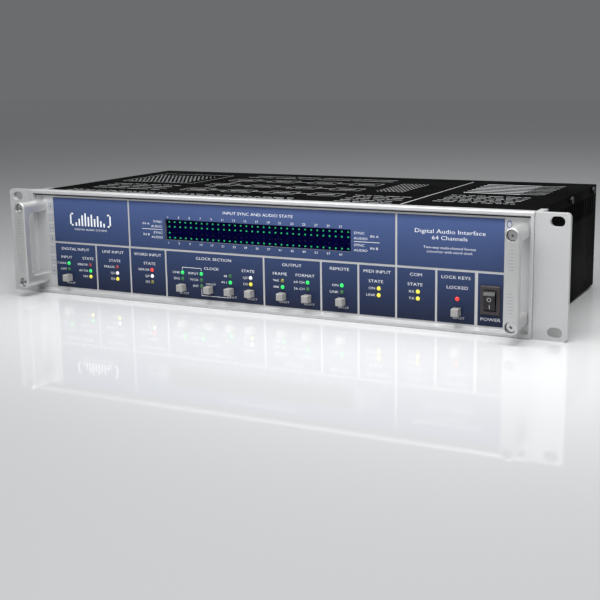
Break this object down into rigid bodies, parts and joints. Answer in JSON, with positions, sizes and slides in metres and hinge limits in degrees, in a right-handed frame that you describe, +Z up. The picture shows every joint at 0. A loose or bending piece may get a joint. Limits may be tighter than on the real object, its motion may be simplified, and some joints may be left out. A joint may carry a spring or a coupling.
{
  "type": "audio interface",
  "caption": "Two-unit rack-mount digital audio interface with silver front frame and handles, blue control fields, dot display, push keys, power rocker and rear connectors.",
  "frame": {"origin": "bottom of the unit, in the middle of its overall width and depth", "axes": "+X to the right seen from the front, +Y from the front to the rear connectors, +Z up"},
  "size_m": [0.4826, 0.2418, 0.0881],
  "materials": {
    "satin_aluminium": "satin silver anodised, fine brushed",
    "handle_aluminium": "satin silver anodised",
    "blue_print": "satin blue print film, darker towards the bottom",
    "smoked_window": "glossy dark blue tinted window",
    "dark_mask": "matt",
    "dot_lit": "alight",
    "dot_dark": "unlit",
    "green_lit": "alight",
    "green_dark": "unlit",
    "yellow_lit": "alight",
    "yellow_dark": "unlit",
    "red_lit": "alight",
    "red_dark": "unlit",
    "white_lit": "alight",
    "switch_plastic": "satin black",
    "rocker_plastic": "satin black",
    "black_steel": "fine-texture black powder coat",
    "cover_steel": "fine-texture black powder coat with white print",
    "rear_steel": "fine-texture black powder coat",
    "black_screw": "black oxide",
    "zinc_screw": "zinc plated",
    "pad_rubber": "matt",
    "nickel_shell": "nickel plated",
    "socket_plastic": "moulded black",
    "brass_pin": "nickel-plated brass",
    "fuse_glass": "clear tube",
    "board_green": "solder mask",
    "chip_black": "epoxy",
    "black_aluminium": "black anodised",
    "core_ferrite": "ferrite with yellow tape",
    "capacitor_sleeve": "shrink sleeve",
    "ribbon_grey": "grey ribbon",
    "lead_sleeve": "woven sleeve",
    "key_grey": "moulded light grey"
  },
  "bodies": {
    "unit": {"front_bezel": "satin_aluminium", "rack_ear_left": "satin_aluminium", "rack_ear_right": "satin_aluminium", "handle_left": "handle_aluminium", "handle_right": "handle_aluminium", "blue_fields": "blue_print", "display_window": "smoked_window", "display_mask": "dark_mask", "display_dots_on": "dot_lit", "display_dots_off": "dot_dark", "lamps_green_on": "green_lit", "lamps_green_off": "green_dark", "lamps_yellow_on": "yellow_lit", "lamps_yellow_off": "yellow_dark", "lamps_red_on": "red_lit", "lamps_red_off": "red_dark", "lamps_white_on": "white_lit", "power_switch_housing": "switch_plastic", "chassis_tray": "black_steel", "top_cover": "cover_steel", "rear_panel": "rear_steel", "ear_screws": "black_screw", "case_screws": "black_screw", "handle_bolts": "zinc_screw", "board_screws": "zinc_screw", "base_pads": "pad_rubber", "multi_channel_sockets": "nickel_shell", "serial_socket": "nickel_shell", "socket_jack_posts": "zinc_screw", "coaxial_sockets": "nickel_shell", "coaxial_nuts": "zinc_screw", "optical_sockets": "socket_plastic", "midi_sockets": "socket_plastic", "power_inlet": "socket_plastic", "power_inlet_pins": "brass_pin", "main_board": "board_green", "supply_board": "board_green", "front_board": "board_green", "board_standoffs": "brass_pin", "logic_chips": "chip_black", "chip_heatsink": "black_aluminium", "pulse_transformers": "chip_black", "supply_transformer": "core_ferrite", "supply_capacitors": "capacitor_sleeve", "ribbon_cable": "ribbon_grey", "mains_lead": "lead_sleeve", "earth_stud": "zinc_screw", "key_switches": "chip_black"},
    "input_button": {"input_button": "key_grey"},
    "clock_source_button": {"clock_source_button": "key_grey"},
    "clock_mode_button": {"clock_mode_button": "key_grey"},
    "clock_rate_button": {"clock_rate_button": "key_grey"},
    "clock_state_button": {"clock_state_button": "key_grey"},
    "frame_button": {"frame_button": "key_grey"},
    "format_button": {"format_button": "key_grey"},
    "remote_button": {"remote_button": "key_grey"},
    "lock_button": {"lock_button": "key_grey"},
    "rocker": {"power_rocker": "rocker_plastic"},
    "fuse_carrier": {"fuse_drawer": "socket_plastic", "mains_fuse": "fuse_glass"}
  },
  "joints": [
    {"name": "input_press", "type": "slide", "parent": "unit", "child": "input_button", "axis": [0, 1, 0], "range_m": [0, 0.001], "stiffness_N_per_m": 600, "springref_m": -0.001},
    {"name": "clock_source_press", "type": "slide", "parent": "unit", "child": "clock_source_button", "axis": [0, 1, 0], "range_m": [0, 0.001], "stiffness_N_per_m": 600, "springref_m": -0.001},
    {"name": "clock_mode_press", "type": "slide", "parent": "unit", "child": "clock_mode_button", "axis": [0, 1, 0], "range_m": [0, 0.001], "stiffness_N_per_m": 600, "springref_m": -0.001},
    {"name": "clock_rate_press", "type": "slide", "parent": "unit", "child": "clock_rate_button", "axis": [0, 1, 0], "range_m": [0, 0.001], "stiffness_N_per_m": 600, "springref_m": -0.001},
    {"name": "clock_state_press", "type": "slide", "parent": "unit", "child": "clock_state_button", "axis": [0, 1, 0], "range_m": [0, 0.001], "stiffness_N_per_m": 600, "springref_m": -0.001},
    {"name": "frame_press", "type": "slide", "parent": "unit", "child": "frame_button", "axis": [0, 1, 0], "range_m": [0, 0.001], "stiffness_N_per_m": 600, "springref_m": -0.001},
    {"name": "format_press", "type": "slide", "parent": "unit", "child": "format_button", "axis": [0, 1, 0], "range_m": [0, 0.001], "stiffness_N_per_m": 600, "springref_m": -0.001},
    {"name": "remote_press", "type": "slide", "parent": "unit", "child": "remote_button", "axis": [0, 1, 0], "range_m": [0, 0.001], "stiffness_N_per_m": 600, "springref_m": -0.001},
    {"name": "lock_press", "type": "slide", "parent": "unit", "child": "lock_button", "axis": [0, 1, 0], "range_m": [0, 0.001], "stiffness_N_per_m": 600, "springref_m": -0.001},
    {"name": "power_rock", "type": "hinge", "parent": "unit", "child": "rocker", "pos_m": [0.187, -0.0905, 0.02465], "axis": [1, 0, 0], "range_deg": [-28, 0]},
    {"name": "fuse_drawer_slide", "type": "slide", "parent": "unit", "child": "fuse_carrier", "axis": [0, 1, 0], "range_m": [0, 0.016]}
  ]
}
